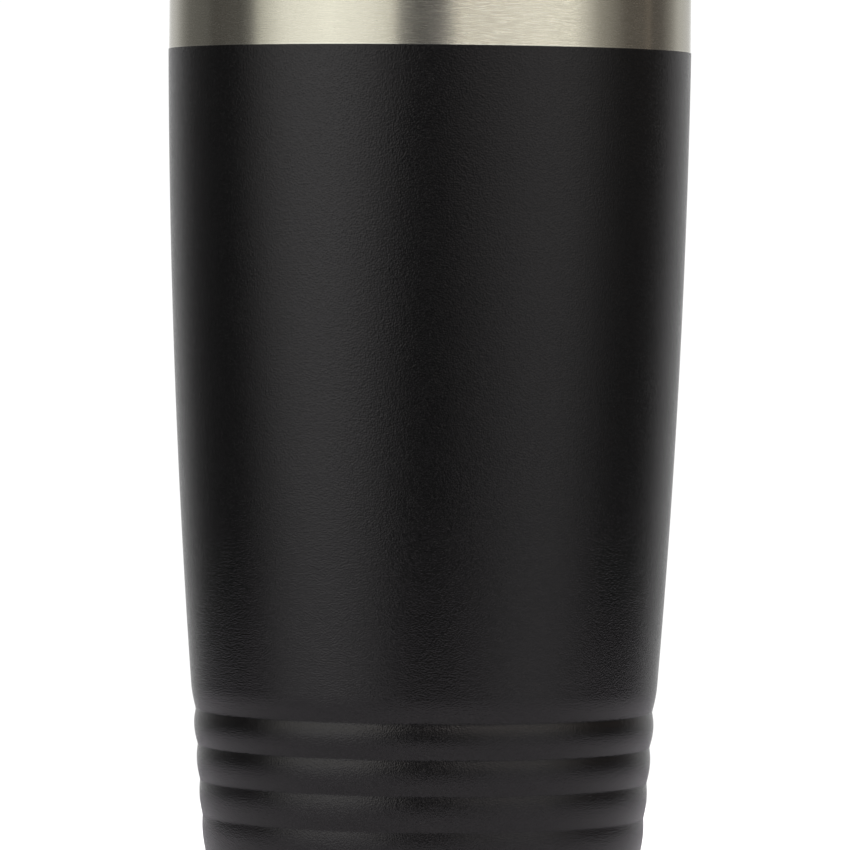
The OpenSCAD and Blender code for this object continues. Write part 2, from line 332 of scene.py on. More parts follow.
def lathe(name, outline):
    """A solid turned about the cup's axis. outline is its section, counter-clockwise, as (radius, z) points.
    The section of a solid with no hole along the axis starts and ends there."""
    segments = SEGMENTS
    turns = [2 * math.pi * k / segments for k in range(segments)]
    ring = [(math.cos(turn), math.sin(turn)) for turn in turns]
    turned = [p for p in outline if p[0] > ON_AXIS]
    vertices = [(r * c, r * s, z) for r, z in turned for c, s in ring]
    rows = len(turned) if len(turned) == len(outline) else len(turned) - 1
    faces = []
    for i in range(rows):
        a, b = i * segments, (i + 1) % len(turned) * segments
        for k in range(segments):
            n = (k + 1) % segments
            faces.append((a + k, a + n, b + n, b + k))
    if len(turned) < len(outline):
        last = (len(turned) - 1) * segments
        faces.append(tuple(range(segments - 1, -1, -1)))
        faces.append(tuple(range(last, last + segments)))
    return mesh_piece(name, vertices, faces)


def slab(name, outline, layers):
    """A solid whose level sections are one convex outline, grown or shrunk. layers are (z, growth), from the
    lowest up."""
    count = len(outline)
    normals = []
    for i in range(count):
        along = Vector(outline[(i + 1) % count]) - Vector(outline[i - 1])
        normals.append(Vector((along.y, -along.x)).normalized())
    vertices = [(p[0] + n.x * grow, p[1] + n.y * grow, z)
                for z, grow in layers for p, n in zip(outline, normals)]
    faces = [tuple(range(count - 1, -1, -1))]
    for i in range(len(layers) - 1):
        a, b = i * count, (i + 1) * count
        faces += [(a + k, a + (k + 1) % count, b + (k + 1) % count, b + k) for k in range(count)]
    faces.append(tuple(range((len(layers) - 1) * count, len(layers) * count)))
    return mesh_piece(name, vertices, faces)


def rounded(bottom, top, low_round, top_round, steps=5):
    """Layers of a slab between two heights, with both of its rims rounded."""
    lower = arc(-low_round, bottom + low_round, low_round, -90, 0, steps) if low_round else [(0, bottom)]
    upper = arc(-top_round, top - top_round, top_round, 0, 90, steps) if top_round else [(0, top)]
    return [(z, grow) for grow, z in lower + upper]


def flared(bottom, top, radius, steps=5):
    """Layers of a cutter for a hole between two faces, which leaves both of the hole's rims rounded."""
    lower = arc(radius, bottom + radius, radius, 270, 180, steps)
    upper = arc(radius, top - radius, radius, 180, 90, steps)
    return [(bottom - PAST, radius)] + [(z, grow) for grow, z in lower + upper] + [(top + PAST, radius)]


def combine(piece, tools, operation):
    """Joins the tools to the piece, or cuts them out of it, and removes them."""
    for tool in tools:
        step = piece.modifiers.new(tool.name, "BOOLEAN")
        step.operation = operation
        step.solver = "EXACT"
        step.object = tool
    bpy.context.view_layer.update()
    result = piece.evaluated_get(bpy.context.evaluated_depsgraph_get())
    made = bpy.data.meshes.new_from_object(result)
    piece.modifiers.clear()
    piece.data = made
    for tool in tools:
        bpy.data.objects.remove(tool)
    return piece


def install(piece, body, slot, material, *nodes):
    """Finishes a piece: its material, the body that it rides on, and the CAD nodes that it stands for."""
    smooth(piece)
    piece.data.materials.clear()
    piece.data.materials.append(material)
    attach(piece, body)
    if nodes:
        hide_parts(*nodes)
    return piece


# ---------------------------------------------------------------- camera

AIM = Vector((-0.25, 0, 92.8)) * MM
CAMERA_DISTANCE = 1228 * MM
CAMERA_PITCH = math.radians(1.39)
CAMERA_ROLL = math.radians(0.52)
CAMERA_LENS = 309.7
CAMERA_SENSOR = 36
CAMERA_CLIP = (0.05, 60)


def add_camera():
    """The photograph's view: nearly level, from far off, and close in on the wall."""
    data = bpy.data.cameras.new("camera")
    data.lens = CAMERA_LENS
    data.sensor_width = CAMERA_SENSOR
    data.clip_start, data.clip_end = CAMERA_CLIP
    camera = bpy.data.objects.new("camera", data)
    back = Vector((0, -math.cos(CAMERA_PITCH), math.sin(CAMERA_PITCH)))
    camera.location = AIM + back * CAMERA_DISTANCE
    camera.rotation_mode = "QUATERNION"
    turn = (-back).to_track_quat("-Z", "Y")
    camera.rotation_quaternion = turn @ Euler((0, 0, CAMERA_ROLL)).to_quaternion()
    bpy.context.scene.collection.objects.link(camera)
    bpy.context.scene.camera = camera


# ---------------------------------------------------------------- node helpers

def new_tree(owner):
    """The emptied node tree of a material or a world."""
    owner.use_nodes = True
    owner.node_tree.nodes.clear()
    return owner.node_tree


def add(tree, kind, settings=None, **inputs):
    """A node with its settings. An input is given as a value or as a socket to link from, by its name, or by
    _ and its number."""
    node = tree.nodes.new("ShaderNode" + kind)
    for key, value in (settings or {}).items():
        setattr(node, key, value)
    for key, value in inputs.items():
        socket = node.inputs[int(key[1:])] if key[0] == "_" else node.inputs[key.replace("_", " ")]
        if isinstance(value, bpy.types.NodeSocket):
            tree.links.new(value, socket)
        else:
            socket.default_value = value
    return node


def math_node(tree, operation, a, b=0.0):
    """The result of one operation on one or two values."""
    return add(tree, "Math", {"operation": operation}, _0=a, _1=b).outputs[0]


def grain(tree, size, detail=2.0, roughness=0.5, distortion=0.0):
    """Noise whose features are size across, in millimetres: one number, or one for each of X, Y and Z."""
    sizes = size if isinstance(size, tuple) else (size, size, size)
    place = add(tree, "TexCoord").outputs["Object"]
    scaled = add(tree, "VectorMath", {"operation": "MULTIPLY"}, _0=place, _1=[1 / (s * MM) for s in sizes])
    noise = add(tree, "TexNoise", Vector=scaled.outputs[0], Scale=1.0, Detail=detail,
                Roughness=roughness, Distortion=distortion)
    return noise.outputs["Fac"]


def spread(tree, value, lowest, highest):
    """Takes a noise value, which is mostly between 0.3 and 0.7, to a range of its own."""
    return add(tree, "MapRange", Value=value, _1=0.3, _2=0.7, _3=lowest, _4=highest).outputs[0]


def tint(tree, value, dark, light):
    """A colour between two, by a noise value."""
    ramp = add(tree, "ValToRGB", Fac=value)
    ramp.color_ramp.elements[0].position = 0.3
    ramp.color_ramp.elements[0].color = (*dark, 1)
    ramp.color_ramp.elements[1].position = 0.7
    ramp.color_ramp.elements[1].color = (*light, 1)
    return ramp.outputs[0]


def relief(tree, value, depth):
    """A bump of a noise value, depth millimetres for a rise of 1."""
    return add(tree, "Bump", Strength=1.0, Distance=depth * MM, Height=value).outputs[0]


def surface(name, build):
    """A material whose Principled inputs come from build(tree): fixed values, or sockets."""
    material = bpy.data.materials.new(name)
    tree = new_tree(material)
    shader = add(tree, "BsdfPrincipled")
    for key, value in build(tree).items():
        if isinstance(value, bpy.types.NodeSocket):
            tree.links.new(value, shader.inputs[key])
        else:
            shader.inputs[key].default_value = value
    output = add(tree, "OutputMaterial")
    tree.links.new(shader.outputs[0], output.inputs["Surface"])
    return material


# ---------------------------------------------------------------- materials

# The painted highlight line over the coat's top edge: full up to the first height and gone by the second, in
# millimetres over the edge.
HIGHLIGHT_LINE_START = 0.1
HIGHLIGHT_LINE_END = 0.3
RING_PITCH = 0.22


def brushed_band(tree):
    """Bare stainless steel, brushed round the cup, with a painted highlight line just over the coat's top
    edge.
    """
    strands = grain(tree, (2.8, 2.8, 0.09), detail=2, roughness=0.5)
    scratches = grain(tree, (2.4, 2.4, 0.08), detail=2, roughness=0.5)
    tangent = add(tree, "Tangent", {"direction_type": "RADIAL", "axis": "Z"}).outputs[0]
    height = add(tree, "SeparateXYZ", Vector=add(tree, "TexCoord").outputs["Object"]).outputs[2]
    # Painted highlight: the steel's colour is brighter in a thin line just over the coat's top edge.
    painted_highlight_line = add(tree, "MapRange", {"interpolation_type": "SMOOTHSTEP"}, Value=height,
               _1=(BAND_Z + HIGHLIGHT_LINE_START) * MM, _2=(BAND_Z + HIGHLIGHT_LINE_END) * MM, _3=1.0, _4=0.0).outputs[0]
    brushed = tint(tree, strands, (0.71, 0.685, 0.575), (0.775, 0.75, 0.635))
    steel = add(tree, "Mix", {"data_type": "RGBA"}, _0=painted_highlight_line, _7=(0.85, 0.83, 0.72, 1), _6=brushed)
    polish = add(tree, "MapRange", Value=scratches, _1=0.4, _2=0.7, _3=0.21, _4=0.29)
    return {
        "Base Color": steel.outputs[2],
        "Metallic": 1.0,
        "Roughness": polish.outputs[0],
        "Anisotropic": 1.0,
        "Anisotropic Rotation": 0.25,
        "Tangent": tangent,
        "Normal": relief(tree, strands, 0.001),
    }


def black_coat(tree):
    """Satin black powder coating with a fine orange peel, and painted shade that darkens its reflection in
    the peel's valleys.
    """
    peel_and_painted_shade = grain(tree, 0.25, detail=1, roughness=0.4)
    specks = grain(tree, 0.3, detail=1)
    cloud = grain(tree, 6, detail=2)
    return {
        "Base Color": tint(tree, specks, (0.0001, 0.0001, 0.0002), (0.0028, 0.0028, 0.0030)),
        "Roughness": spread(tree, cloud, 0.16, 0.20),
        "IOR": 1.55,
        # Specular Tint: painted shade, the coat's reflection darker in the orange peel's valleys.
        "Specular Tint": tint(tree, peel_and_painted_shade, (0.73, 0.71, 0.725), (1.0, 0.97, 0.99)),
        "Normal": relief(tree, peel_and_painted_shade, 0.06),
    }


def turned_steel(tone, roughness):
    """Steel with the fine rings that turning leaves."""
    def build(tree):
        place = add(tree, "TexCoord").outputs["Object"]
        parts = add(tree, "SeparateXYZ", Vector=place)
        across = math_node(tree, "MULTIPLY", parts.outputs[0], parts.outputs[0])
        along = math_node(tree, "MULTIPLY", parts.outputs[1], parts.outputs[1])
        radius = math_node(tree, "SQRT", math_node(tree, "ADD", across, along))
        rings = add(tree, "CombineXYZ", X=math_node(tree, "MULTIPLY", radius, 1 / (RING_PITCH * MM)),
                    Y=math_node(tree, "MULTIPLY", parts.outputs[2], 1 / (RING_PITCH * MM)))
        marks = add(tree, "TexNoise", Vector=rings.outputs[0], Scale=1.0, Detail=4.0).outputs["Fac"]
        cloud = grain(tree, 14, detail=2)
        return {
            "Base Color": tint(tree, marks, tuple(0.93 * c for c in tone), tone),
            "Metallic": 1.0,
            "Roughness": spread(tree, cloud, roughness - 0.03, roughness + 0.05),
            "Normal": relief(tree, marks, 0.003),
        }
    return build


def clear_plastic(tree):
    """Clear moulded plastic, with slight flow waves and a trace of haze."""
    flow = grain(tree, 9, detail=1)
    haze = grain(tree, 3, detail=2)
    return {
        "Base Color": (0.965, 0.98, 0.985, 1),
        "Roughness": spread(tree, haze, 0.02, 0.05),
        "IOR": 1.54,
        "Transmission Weight": 1.0,
        "Normal": relief(tree, flow, 0.02),
    }


def moulded_black(tone, roughness, texture):
    """Black plastic out of a spark-eroded mould."""
    def build(tree):
        pits = grain(tree, texture, detail=2)
        cloud = grain(tree, 7, detail=2)
        return {
            "Base Color": tint(tree, cloud, tuple(0.85 * c for c in tone), tone),
            "Roughness": spread(tree, cloud, roughness - 0.04, roughness + 0.04),
            "IOR": 1.5,
            "Normal": relief(tree, pits, 0.01),
        }
    return build


def silicone(tone, see_through):
    """Moulded rubber with a little dust on it."""
    def build(tree):
        dust = grain(tree, 1.2, detail=4)
        skin = grain(tree, 0.3, detail=2)
        return {
            "Base Color": tint(tree, dust, tuple(0.94 * c for c in tone), tone),
            "Roughness": spread(tree, dust, 0.42, 0.52),
            "Subsurface Weight": see_through,
            "Subsurface Radius": (0.0016, 0.0018, 0.0018),
            "Subsurface Scale": 1.0,
            "Normal": relief(tree, skin, 0.004),
        }
    return build


def plated(tree):
    """Nickel plating."""
    stain = grain(tree, 1.5, detail=3)
    return {
        "Base Color": tint(tree, stain, (0.58, 0.56, 0.52), (0.70, 0.68, 0.64)),
        "Metallic": 1.0,
        "Roughness": spread(tree, stain, 0.16, 0.28),
    }


def foil(tree):
    """Creased aluminium foil."""
    creases = grain(tree, 5, detail=3, distortion=1.5)
    return {
        "Base Color": tint(tree, creases, (0.80, 0.81, 0.83), (0.90, 0.90, 0.91)),
        "Metallic": 1.0,
        "Roughness": 0.22,
        "Normal": relief(tree, creases, 0.25),
    }


def pressed_powder(tree):
    """Pressed metal powder."""
    grains = grain(tree, 0.18, detail=3)
    return {
        "Base Color": tint(tree, grains, (0.09, 0.09, 0.095), (0.2, 0.2, 0.21)),
        "Metallic": 0.6,
        "Roughness": 0.75,
        "Normal": relief(tree, grains, 0.03),
    }


def solder(tree):
    """Dull, lumpy solder."""
    cloud = grain(tree, 0.9, detail=3)
    return {
        "Base Color": tint(tree, cloud, (0.33, 0.33, 0.32), (0.47, 0.47, 0.46)),
        "Metallic": 1.0,
        "Roughness": spread(tree, cloud, 0.4, 0.55),
        "Normal": relief(tree, cloud, 0.04),
    }


# ---------------------------------------------------------------- cup

def groove_z(i):
    """The height of the bottom of a groove. Groove 0 is the highest."""
    return BAND_Z - GROOVE_DROP - i * GROOVE_PITCH


def groove_cut(i, z):
    """How deep a groove cuts at height z. The stack's first and last flanks are longer than those between."""
    outer = (i == 0 and z > groove_z(i)) or (i == GROOVE_COUNT - 1 and z < groove_z(i))
    reach = GROOVE_SHOULDER if outer else GROOVE_PITCH / 2
    s = math.hypot((z - groove_z(i)) / reach, GROOVE_SOFT)
    return GROOVE_DEPTH * GROOVE_FADE ** i * (1 - s) ** 2 if s < 1 else 0


def shell_r(z):
    """Outer radius of the steel wall: one long arc, less the grip grooves."""
    d = min(0, z - BAND_Z)
    barrel = BAND_R + WALL_LEAN * d - d * d / (2 * BARREL_RADIUS)
    return barrel - sum(groove_cut(i, z) for i in range(GROOVE_COUNT))


def wall_heights(bottom, top, steps=11, plain=3.0):
    """Heights of the wall's rings, which crowd together towards the bottom of each groove. Away from the
    grooves they are at most plain millimetres apart."""
    heights = {bottom, top}
    for i in range(GROOVE_COUNT):
        above = GROOVE_SHOULDER if i == 0 else GROOVE_PITCH / 2
        below = GROOVE_SHOULDER if i == GROOVE_COUNT - 1 else GROOVE_PITCH / 2
        for k in range(steps + 1):
            share = (k / steps) ** RING_CROWDING
            heights.add(groove_z(i) + share * above)
            heights.add(groove_z(i) - share * below)
    zone_low = groove_z(GROOVE_COUNT - 1) - GROOVE_SHOULDER
    zone_top = groove_z(0) + GROOVE_SHOULDER
    for start, end in ((bottom, zone_low), (zone_top, top)):
        count = math.ceil((end - start) / plain)
        heights.update(start + (end - start) * k / count for k in range(count))
    kept = []
    for z in sorted(heights):
        if bottom <= z <= top and (not kept or z - kept[-1] > RING_NEAREST):
            kept.append(z)
    return kept


def wall(heights, inward):
    """The wall's outline, set in from the steel's outer face."""
    return [(shell_r(z) - inward, z) for z in heights]


def build_coat():
    """The coating as a thin sleeve that follows the grooves."""
    edge = COAT_EDGE
    outer = wall(wall_heights(COAT_LOW_Z + edge, BAND_Z - edge), -COAT_T)
    inner = wall(wall_heights(COAT_LOW_Z, BAND_Z, steps=4, plain=12), -BONDED)
    top_r = shell_r(BAND_Z) + COAT_T
    rim = arc(top_r - edge, BAND_Z - edge, edge, 15, 90, 5)
    low_r = shell_r(COAT_LOW_Z) + COAT_T
    hem = arc(low_r - edge, COAT_LOW_Z + edge, edge, -90, -15, 5)
    return lathe("coat_sleeve", hem + outer + rim + inner[::-1])


def build_shell():
    """The outer steel wall. A fine V groove is left at each of its welds."""
    seam = WELD_SEAM
    heights = wall_heights(BASE_JOINT_Z, BAND_Z, steps=4, plain=6) + [LIP_WELD_Z - seam]
    hem = [(shell_r(BASE_JOINT_Z) - seam, BASE_JOINT_Z)]
    rim = [(BAND_R - seam, LIP_WELD_Z)]
    outer = hem + wall(heights, 0)[1:] + rim
    inner = wall([BASE_JOINT_Z] + heights[1:-1] + [LIP_WELD_Z], SHELL_T)
    return lathe("outer_wall", outer + inner[::-1])


def liner_skin(out):
    """The liner's outline from the middle of its floor, up and over the lip, to the weld on the outer wall.
    out is how far it is set out from the liner's inner face."""
    lean = math.atan((MOUTH_R - FLOOR_R) / (SEAT_Z - FLOOR_Z - FLOOR_CORNER))
    corner = arc(FLOOR_R - FLOOR_CORNER, FLOOR_Z + FLOOR_CORNER, FLOOR_CORNER + out,
                 -90, -math.degrees(lean), 12)
    bend = [(MOUTH_R + out - (BEND_L - k) ** 2 * BEND_CURVE, SEAT_Z - BEND_L / 2 + k)
            for k in range(BEND_L + 1)]
    lip = arc(MOUTH_R + LIP_R, LIP_MID_Z, LIP_R - out, 180, 0, 16)
    return [(0, FLOOR_Z - out)] + corner + bend + lip + [(BAND_R - out, LIP_WELD_Z)]


def build_liner():
    """The inner wall with its rolled lip."""
    return lathe("inner_wall", liner_skin(LINER_T) + liner_skin(0)[::-1])


def base_skin(up):
    """The base's outline from the port to the weld on the outer wall, set up from its lower face."""
    foot_r = shell_r(BASE_JOINT_Z)
    recess_r = foot_r - FOOT_CORNER - FOOT_W - FOOT_SLOPE
    dimple_z = RECESS_H + DIMPLE_H
    shift = up / 2
    pressed = soften([
        (PORT_R, dimple_z + up, 0),
        (DIMPLE_R - DIMPLE_SLOPE + shift, dimple_z + up, PRESS_CORNER),
        (DIMPLE_R + shift, RECESS_H + up, PRESS_CORNER),
        (recess_r + shift, RECESS_H + up, FOOT_INNER_CORNER),
        (recess_r + FOOT_SLOPE + shift, up, FOOT_INNER_CORNER),
        (foot_r - FOOT_CORNER, up, 0),
    ])
    corner = arc(foot_r - FOOT_CORNER, FOOT_CORNER, FOOT_CORNER - up, -90, 0, 8)
    return pressed + corner[1:] + [(foot_r - up, BASE_JOINT_Z)]


def build_base():
    """The pressed base with its foot ring, its recess and the dimple with the port."""
    return lathe("foot_pressing", base_skin(0) + base_skin(BASE_T)[::-1])


def build_cover():
    """The plate in the recess: a flat disc with a shallow ring pressed into it."""
    top = RECESS_H
    bottom = top - COVER_T
    pressed = bottom + COVER_RING_H
    return lathe("recess_plate", soften([
        (0, bottom, 0),
        (COVER_RING_IN_R, bottom, COVER_CORNER),
        (COVER_RING_IN_R + COVER_RING_SLOPE, pressed, COVER_CORNER),
        (COVER_RING_OUT_R - COVER_RING_SLOPE, pressed, COVER_CORNER),
        (COVER_RING_OUT_R, bottom, COVER_CORNER),
        (COVER_R, bottom, COVER_LOW_EDGE),
        (COVER_R, top, COVER_TOP_EDGE),
        (0, top, 0),
    ]))


# ---------------------------------------------------------------- lid

def lid_section():
    """The lid's turned section: deck, plug with its seal groove, flange, crown and dish. The last number of a
    corner is the radius that softens it."""
    inner_top = CROWN_R - CROWN_LEAN - CROWN_T
    return lifted(soften([
        (0, DECK_LOW, 0),
        (PLUG_IN_R, DECK_LOW, 1.0),
        (PLUG_IN_R, -PLUG_D, 0.4),
        (PLUG_R - PLUG_LEAD, -PLUG_D, 0.5),
        (PLUG_R, PLUG_LEAD - PLUG_D, 0.5),
        (PLUG_R, SEAL_LOW, 0.25),
        (SEAL_R, SEAL_LOW, 0.3),
        (SEAL_R, SEAL_TOP, 0.3),
        (PLUG_R, SEAL_TOP, 0.25),
        (PLUG_R, FLANGE_LOW, 0.3),
        (FLANGE_R, FLANGE_LOW, 0.7),
        (FLANGE_R, FLANGE_TOP, 0.8),
        (CROWN_R, FLANGE_TOP, 0.6),
        (CROWN_R - CROWN_LEAN, CROWN_H, CROWN_CORNER),
        (inner_top, CROWN_H, CROWN_CORNER),
        (DISH_R, DECK_H, 1.0),
        (0, DECK_H, 0),
    ], turn=12), LIP_Z)


def lid_height(h):
    """A height from the lip as a height from the table."""
    return LIP_Z + h


def rail_parts(side):
    """One side of the guide, as two bars that overlap: an upright, and the lip over the slider's tongue."""
    parts = []
    for name, near, bottom in (("upright", RAIL_Y, DECK_H - JOINED), ("lip", RAIL_LIP_Y, RAIL_LIP_LOW)):
        y0, y1 = sorted((side * near, side * (RAIL_Y + RAIL_T)))
        outline = [(RAIL_X - RAIL_T, y0), (RAIL_END, y0), (RAIL_END, y1), (RAIL_X - RAIL_T, y1)]
        outline = soften([(x, y, RAIL_CORNER if x < 0 else 0) for x, y in outline])
        low_edge = RAIL_LOW_EDGE if name == "lip" else 0
        layers = rounded(lid_height(bottom), lid_height(RAIL_TOP), low_edge, RAIL_EDGE, 4)
        parts.append(slab("rail_" + name, outline, layers))
    return parts


def stop_bar():
    """The bar across the guide's rear end."""
    reach = RAIL_Y + RAIL_T / 2
    outline = [(RAIL_X - RAIL_T, -reach), (RAIL_X, -reach), (RAIL_X, reach), (RAIL_X - RAIL_T, reach)]
    return slab("stop", outline, rounded(lid_height(DECK_H - JOINED), lid_height(RAIL_TOP), 0, RAIL_EDGE, 4))


def boss_under(node):
    """The boss on the deck's underside that holds a magnet."""
    bottom = lid_height(BOSS_LOW)
    layers = [(bottom, -BOSS_EDGE), (bottom + BOSS_EDGE_MID, -BOSS_EDGE_MID), (bottom + BOSS_EDGE, 0),
              (lid_height(DECK_LOW) + JOINED, 0)]
    return slab("boss", disc(*centre(node), BOSS_R, 64), layers)


def magnet_pocket(node, bottom, top):
    """The cutter for a magnet's pocket."""
    return slab("pocket", disc(*centre(node), POCKET_R, 64), [(bottom, 0), (top, 0)])


def build_lid():
    """The clear lid: its turned body with the guide and the bosses, less its openings."""
    lid = lathe("lid_shell", lid_section())
    added = rail_parts(1) + rail_parts(-1) + [stop_bar()]
    added += [boss_under(node) for node in LID_MAGNETS]
    combine(lid, added, "UNION")
    deck = lid_height(DECK_LOW), lid_height(DECK_H)
    cut = [
        slab("opening", stadium(OPENING_X, 0, OPENING_L, OPENING_W), flared(*deck, OPENING_EDGE)),
        slab("vent", disc(VENT_X, 0, VENT_R, 40), flared(*deck, VENT_EDGE)),
    ]
    for node in LID_MAGNETS:
        cut.append(magnet_pocket(node, lid_height(BOSS_LOW) - PAST, lid_height(POCKET_TOP)))
    return combine(lid, cut, "DIFFERENCE")


def build_gasket():
    """The seal: a band in the plug's groove, with two wiping lips that slant outwards and up."""
    band_out = SEAL_R + SEAL_T
    inner = SEAL_R + SEAL_GAP
    bottom = SEAL_LOW + SEAL_END_GAP
    top = SEAL_TOP - SEAL_END_GAP
    corners = [(inner, bottom, 0.2), (band_out, bottom, 0.3)]
    for root in (bottom + WIPER_FIRST, top - WIPER_LAST):
        corners += [(band_out, root - WIPER_ROOT_H, 0.2), (WIPER_R, root - WIPER_TIP_LOW, 0.12),
                    (WIPER_R, root + WIPER_TIP_TOP, 0.12), (band_out, root, 0.3)]
    corners += [(band_out, top, 0.3), (inner, top, 0.2)]
    return lathe("seal_ring", lifted(soften(corners), LIP_Z))


# ---------------------------------------------------------------- magnets and slider

def build_disc(name, node, edge):
    """A round piece with softened rims, where its CAD node is."""
    x, y = centre(node)
    radius = high(node, 0) - x
    return slab(name, disc(x, y, radius, 64), rounded(low(node), high(node), edge, edge, 4))


def pad_outline(proud):
    """The drinking opening's outline where the slider is open, larger by proud."""
    return stadium(OPENING_X - TRAVEL, 0, OPENING_L + proud, OPENING_W + proud)


def build_slider_body():
    """The slider's tongue with the block on it, less the pockets for its magnets and its pad."""
    tongue = slab("slider_tongue", slider_outline(TONGUE_Y, 0),
                  rounded(lid_height(TONGUE_LOW), lid_height(TONGUE_TOP), TONGUE_LOW_EDGE, TONGUE_EDGE, 4))
    block_top = lid_height(BLOCK_TOP)
    layers = [(lid_height(TONGUE_TOP) - SUNK, 0), (block_top - BLOCK_EDGE, 0), (block_top, -BLOCK_EDGE)]
    combine(tongue, [slab("block", slider_outline(BLOCK_Y, BLOCK_INSET), layers)], "UNION")
    cuts = [magnet_pocket(node, low(node) - MAGNET_GAP, block_top + PAST) for node in SLIDER_MAGNETS]
    seat = [(lid_height(TONGUE_LOW) - PAST, 0), (high("slider_seal"), 0)]
    cuts.append(slab("pad_seat", pad_outline(PAD_SEAT_PROUD), seat))
    return combine(tongue, cuts, "DIFFERENCE")


def build_slider_cap():
    """The plate over the magnets, with a thumb bar on it."""
    cap_top = lid_height(CAP_TOP)
    cap = slab("slider_plate", slider_outline(BLOCK_Y, BLOCK_INSET),
               rounded(lid_height(BLOCK_TOP), cap_top, CAP_LOW_EDGE, CAP_EDGE, 6))
    foot = arc(GRIP_FOOT, cap_top + GRIP_FOOT, GRIP_FOOT, 270, 180, 5)
    crest = arc(-GRIP_CREST, lid_height(GRIP_TOP) - GRIP_CREST, GRIP_CREST, 0, 90, 7)
    layers = [(cap_top - SUNK, GRIP_FOOT)] + [(z, grow) for grow, z in foot + crest]
    bar = slab("thumb_bar", stadium(GRIP_X, 0, GRIP_L, GRIP_W, 32), layers)
    return combine(cap, [bar], "UNION")


def build_slider_seal():
    """The pad that closes the drinking opening."""
    return slab("slider_pad", pad_outline(PAD_PROUD),
                rounded(low("slider_seal"), high("slider_seal"), PAD_LOW_EDGE, PAD_TOP_EDGE, 4))


# ---------------------------------------------------------------- studio

# The studio's wall as the tumbler mirrors it, by azimuth in degrees. Azimuths start at the camera and grow to
# the right. Each row has the wall's colour higher up, and then its grey at eye level and below.
BACKDROP = (1.05, 1.05, 1.06)
STUDIO = [
    (-180, BACKDROP, 1.05),                     # white backdrop
    (-166, (0.70, 0.69, 0.70), 0.60),
    (-152, (0.60, 0.58, 0.59), 0.46),
    (-142, (0.31, 0.295, 0.28), 0.23),
    (-134, (0.17, 0.16, 0.15), 0.13),           # dark side
    (-115.5, (0.15, 0.145, 0.14), 0.09),
    (-112, (0.07, 0.06, 0.055), 0.065),
    (-91, (0.05, 0.045, 0.04), 0.11),
    (-85.5, (0.12, 0.11, 0.10), 0.26),
    (-82, (1.05, 1.03, 0.93), 0.37),            # left softbox
    (-67, (1.12, 1.11, 1.04), 0.92),
    (-45, (1.22, 1.22, 1.15), 1.18),
    (-28, (1.22, 1.20, 1.14), 0.84),
    (-16, (1.22, 1.18, 1.10), 0.36),
    (-13.5, (0.20, 0.19, 0.19), 0.25),          # gap with the camera in it
    (-4, (0.03, 0.027, 0.032), 0.11),
    (5, (0.17, 0.155, 0.175), 0.14),
    (13, (0.82, 0.77, 0.73), 0.19),             # right softbox
    (30, (0.82, 0.77, 0.73), 0.42),
    (48, (0.86, 0.81, 0.76), 0.64),
    (64, (0.90, 0.86, 0.79), 0.60),
    (74, (0.95, 0.90, 0.82), 0.44),
    (80.5, (0.44, 0.40, 0.34), 0.27),
    (97, (0.15, 0.12, 0.095), 0.08),            # dark side
    (112, (0.13, 0.10, 0.08), 0.08),
    (113.2, (0.95, 0.76, 0.60), 0.08),          # a thin bright stand
    (114.4, (0.11, 0.08, 0.065), 0.08),
    (124, (0.10, 0.07, 0.055), 0.09),
    (134, (0.25, 0.21, 0.18), 0.22),
    (143, (0.64, 0.60, 0.57), 0.42),
    (164, (0.70, 0.68, 0.67), 0.55),
    (180, BACKDROP, 1.05),                      # white backdrop
]
# How much of its brightness the wall keeps at its foot, by azimuth.
STUDIO_FOOT = [
    (-180, 0.9), (-140, 0.92), (-100, 0.7), (-85, 0.44), (-16, 0.42), (0, 0.48), (18, 0.64), (75, 0.66),
    (92, 0.9), (105, 1.0), (130, 1.0), (180, 0.9),
]
CEILING = (1.0, 1.0, 1.0)
# Fades between two heights, each the sine of an angle over the horizon: from the wall's foot to its full
# brightness, from its grey to its colour, and from the wall to the ceiling.
FOOT_RISE = (-0.24, -0.04)
COLOUR_RISE = (0.0, 0.24)
CEILING_RISE = (0.6, 0.8)
BACKGROUND_STRENGTH = 1.05

# The table, in millimetres, and its fades, in metres from its middle. Its colour darkens towards its rim,
# a painted falloff of light.
FLOOR_REACH = 310
FLOOR_BACK = 80
FLOOR_STEPS = 96
PAPER = (0.45, 0.44, 0.47, 1)
# Painted shade: the table's colour at its rim, darker as though the light fell off there.
PAPER_PAINTED_FALLOFF = (0.33, 0.32, 0.35, 1)
PAINTED_FALLOFF_FADE = (0.1, 0.32)
GLOW_FADE = (0.12, 0.27)
GLOW_NEAR = 0.5


def ramp_round(tree, place, values):
    """A colour for each azimuth, from (azimuth, colour) values. place is 0 at -180 degrees and 1 at 180."""
    ramp = add(tree, "ValToRGB", Fac=place)
    stops = ramp.color_ramp.elements
    stops[0].position, stops[0].color = 0, (*values[0][1], 1)
    stops[1].position, stops[1].color = 1, (*values[-1][1], 1)
    for angle, colour in values[1:-1]:
        stops.new((angle + 180) / 360).color = (*colour, 1)
    return ramp.outputs[0]


def even_greys(values):
    """The (azimuth, colour) values of (azimuth, grey) values."""
    return [(angle, (grey, grey, grey)) for angle, grey in values]


